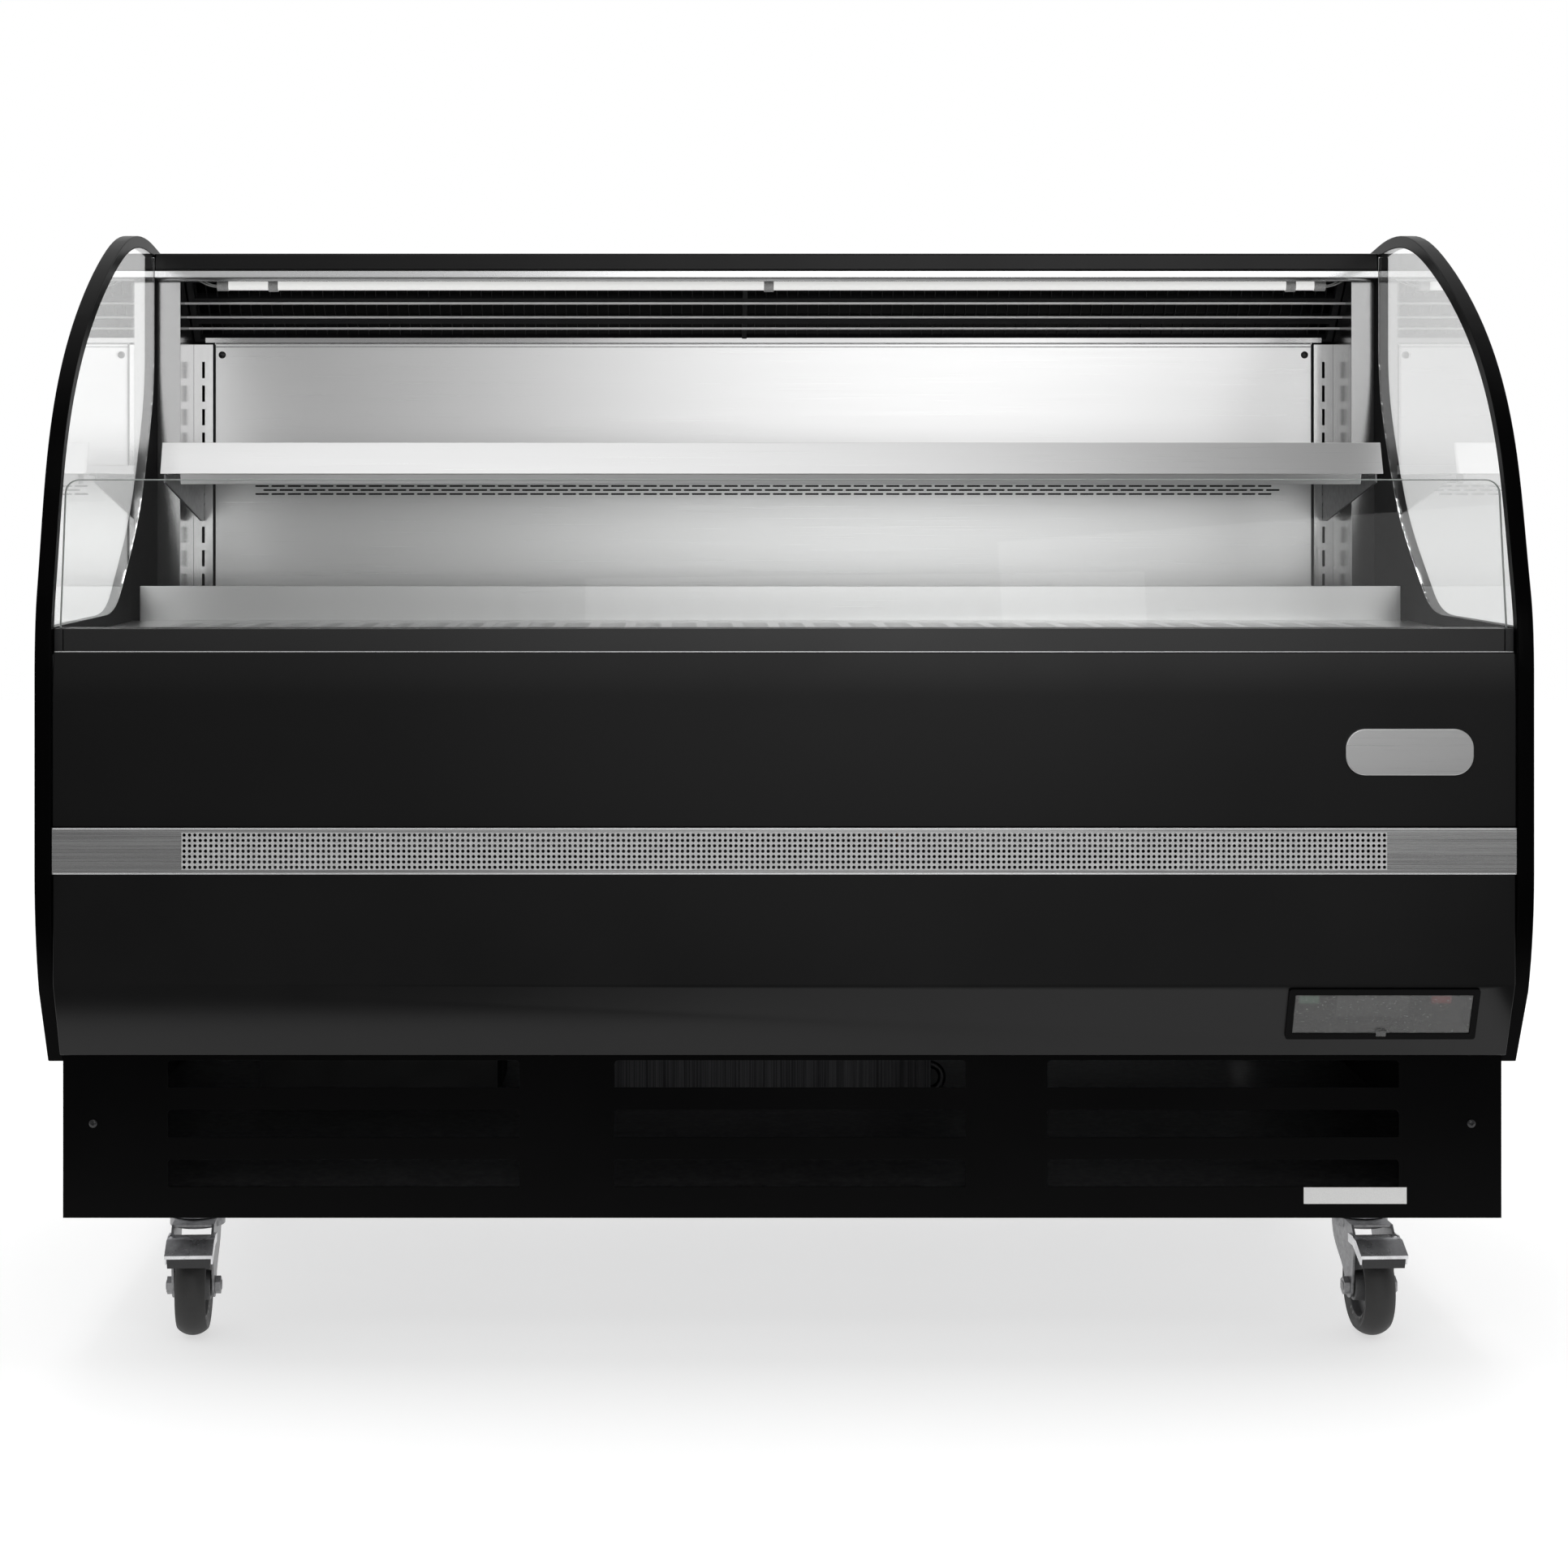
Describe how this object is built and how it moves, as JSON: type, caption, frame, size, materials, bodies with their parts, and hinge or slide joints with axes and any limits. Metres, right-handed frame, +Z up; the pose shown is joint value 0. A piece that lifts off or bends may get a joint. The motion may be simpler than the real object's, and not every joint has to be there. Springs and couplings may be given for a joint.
{
  "type": "open refrigerated deli merchandiser",
  "caption": "Low open-front refrigerated deli case with curved glass ends, front glass, stainless shelf and deck, and casters.",
  "frame": {"origin": "on the floor under the middle of the case", "axes": "+X along the case to its right-hand end seen from the front, +Y to the rear, +Z up"},
  "size_m": [1.511, 0.862, 1.1846],
  "materials": {
    "black_paint": "satin black powder coat",
    "stainless": "brushed stainless steel",
    "aluminium_trim": "bright anodised extrusion",
    "zinc": "zinc-plated pressed steel",
    "galvanised": "galvanised sheet",
    "clear_glass": "clear tempered glass",
    "clear_plastic": "clear acrylic",
    "black_plastic": "moulded black plastic",
    "white_plastic": "white diffuser and clips",
    "red_plastic": "red rocker",
    "green_plastic": "green rocker",
    "rubber_tyre": "black rubber tread",
    "black_shell": "black enamel shell",
    "coil_fins": "aluminium fins",
    "copper_lines": "copper tube",
    "badge": "blank badge"
  },
  "bodies": {
    "cabinet": {"left_edge_profile": "black_paint", "right_edge_profile": "black_paint", "left_end_glass": "clear_glass", "right_end_glass": "clear_glass", "left_end_wall": "black_paint", "right_end_wall": "black_paint", "base_frame": "galvanised", "base_front_grille": "black_paint", "base_side_panels": "black_paint", "base_rear_grille": "galvanised", "cord_gland": "black_plastic", "compressor": "black_shell", "condenser_coil": "coil_fins", "condenser_fan_shroud": "galvanised", "condensate_pan": "black_plastic", "refrigerant_pipes": "copper_lines", "insulated_tub": "galvanised", "evaporator_coil": "coil_fins", "evaporator_fan_plate": "galvanised", "rear_wall": "black_paint", "canopy": "black_paint", "light_rail": "aluminium_trim", "led_tube": "white_plastic", "led_holders": "white_plastic", "air_guard_rods": "zinc", "air_outlet_duct": "black_plastic", "rear_duct_panel": "stainless", "corner_posts": "stainless", "pilasters": "stainless", "shelf_brackets": "zinc", "return_air_grille": "stainless", "front_glass": "clear_glass", "front_rail": "black_paint", "rail_end_caps": "black_plastic", "upper_front_panel": "black_paint", "perforated_band": "stainless", "lower_front_panel": "black_paint", "badge_plate": "badge", "control_bezel": "black_plastic", "thermostat": "black_plastic", "panel_screws": "zinc", "caster_plates": "zinc"},
    "condenser_fan": {"condenser_fan": "black_plastic"},
    "evaporator_fan_left": {"evaporator_fan_left": "black_plastic"},
    "evaporator_fan_right": {"evaporator_fan_right": "black_plastic"},
    "shelf": {"shelf": "stainless"},
    "deck_pan": {"deck_pan": "stainless"},
    "control_cover": {"control_cover": "clear_plastic"},
    "light_switch": {"light_switch": "green_plastic"},
    "power_switch": {"power_switch": "red_plastic"},
    "brake_pedal_left": {"brake_pedal_left": "zinc"},
    "brake_pedal_right": {"brake_pedal_right": "zinc"},
    "caster_fork_front_left": {"caster_fork_front_left": "zinc"},
    "caster_wheel_front_left": {"caster_wheel_front_left": "rubber_tyre"},
    "caster_fork_front_right": {"caster_fork_front_right": "zinc"},
    "caster_wheel_front_right": {"caster_wheel_front_right": "rubber_tyre"},
    "caster_fork_rear_left": {"caster_fork_rear_left": "zinc"},
    "caster_wheel_rear_left": {"caster_wheel_rear_left": "rubber_tyre"},
    "caster_fork_rear_right": {"caster_fork_rear_right": "zinc"},
    "caster_wheel_rear_right": {"caster_wheel_rear_right": "rubber_tyre"}
  },
  "joints": [
    {"name": "shelf_lift", "type": "slide", "parent": "cabinet", "child": "shelf", "axis": [0, 0, 1], "range_m": [0, 0.08]},
    {"name": "deck_lift", "type": "slide", "parent": "cabinet", "child": "deck_pan", "axis": [0, 0, 1], "range_m": [0, 0.06]},
    {"name": "cover_hinge", "type": "hinge", "parent": "cabinet", "child": "control_cover", "pos_m": [0.6065, -0.42097, 0.37412], "axis": [1, 0, 0], "range_deg": [-100, 0]},
    {"name": "light_switch_rock", "type": "hinge", "parent": "cabinet", "child": "light_switch", "pos_m": [0.5365, -0.39077, 0.37057], "axis": [1, 0, 0], "range_deg": [-8, 8]},
    {"name": "power_switch_rock", "type": "hinge", "parent": "cabinet", "child": "power_switch", "pos_m": [0.6715, -0.39077, 0.37057], "axis": [1, 0, 0], "range_deg": [-8, 8]},
    {"name": "condenser_fan_spin", "type": "hinge", "parent": "cabinet", "child": "condenser_fan", "pos_m": [0, 0.143, 0.3115], "axis": [0, -1, 0], "continuous": true},
    {"name": "evaporator_fan_left_spin", "type": "hinge", "parent": "cabinet", "child": "evaporator_fan_left", "pos_m": [-0.3, 0.021, 0.656], "axis": [0, -1, 0], "continuous": true},
    {"name": "evaporator_fan_right_spin", "type": "hinge", "parent": "cabinet", "child": "evaporator_fan_right", "pos_m": [0.3, 0.021, 0.656], "axis": [0, -1, 0], "continuous": true},
    {"name": "caster_swivel_front_left", "type": "hinge", "parent": "cabinet", "child": "caster_fork_front_left", "pos_m": [-0.617, -0.267, 0.112], "axis": [0, 0, 1], "continuous": true},
    {"name": "wheel_spin_front_left", "type": "hinge", "parent": "caster_fork_front_left", "child": "caster_wheel_front_left", "pos_m": [-0.61522, -0.30095, 0.0508], "axis": [0.9986, 0.0523, 0], "continuous": true},
    {"name": "brake_pedal_left_press", "type": "hinge", "parent": "caster_fork_front_left", "child": "brake_pedal_left", "pos_m": [-0.61449, -0.31493, 0.104], "axis": [0.9986, 0.0523, 0], "range_deg": [0, 10], "stiffness_Nm_per_rad": 1.2, "springref_deg": -2.86},
    {"name": "caster_swivel_front_right", "type": "hinge", "parent": "cabinet", "child": "caster_fork_front_right", "pos_m": [0.617, -0.267, 0.112], "axis": [0, 0, 1], "continuous": true},
    {"name": "wheel_spin_front_right", "type": "hinge", "parent": "caster_fork_front_right", "child": "caster_wheel_front_right", "pos_m": [0.61878, -0.30095, 0.0508], "axis": [0.9986, 0.0523, 0], "continuous": true},
    {"name": "brake_pedal_right_press", "type": "hinge", "parent": "caster_fork_front_right", "child": "brake_pedal_right", "pos_m": [0.61951, -0.31493, 0.104], "axis": [0.9986, 0.0523, 0], "range_deg": [0, 10], "stiffness_Nm_per_rad": 1.2, "springref_deg": -2.86},
    {"name": "caster_swivel_rear_left", "type": "hinge", "parent": "cabinet", "child": "caster_fork_rear_left", "pos_m": [-0.617, 0.329, 0.112], "axis": [0, 0, 1], "continuous": true},
    {"name": "wheel_spin_rear_left", "type": "hinge", "parent": "caster_fork_rear_left", "child": "caster_wheel_rear_left", "pos_m": [-0.61522, 0.29505, 0.0508], "axis": [0.9986, 0.0523, 0], "continuous": true},
    {"name": "caster_swivel_rear_right", "type": "hinge", "parent": "cabinet", "child": "caster_fork_rear_right", "pos_m": [0.617, 0.329, 0.112], "axis": [0, 0, 1], "continuous": true},
    {"name": "wheel_spin_rear_right", "type": "hinge", "parent": "caster_fork_rear_right", "child": "caster_wheel_rear_right", "pos_m": [0.61878, 0.29505, 0.0508], "axis": [0.9986, 0.0523, 0], "continuous": true}
  ]
}
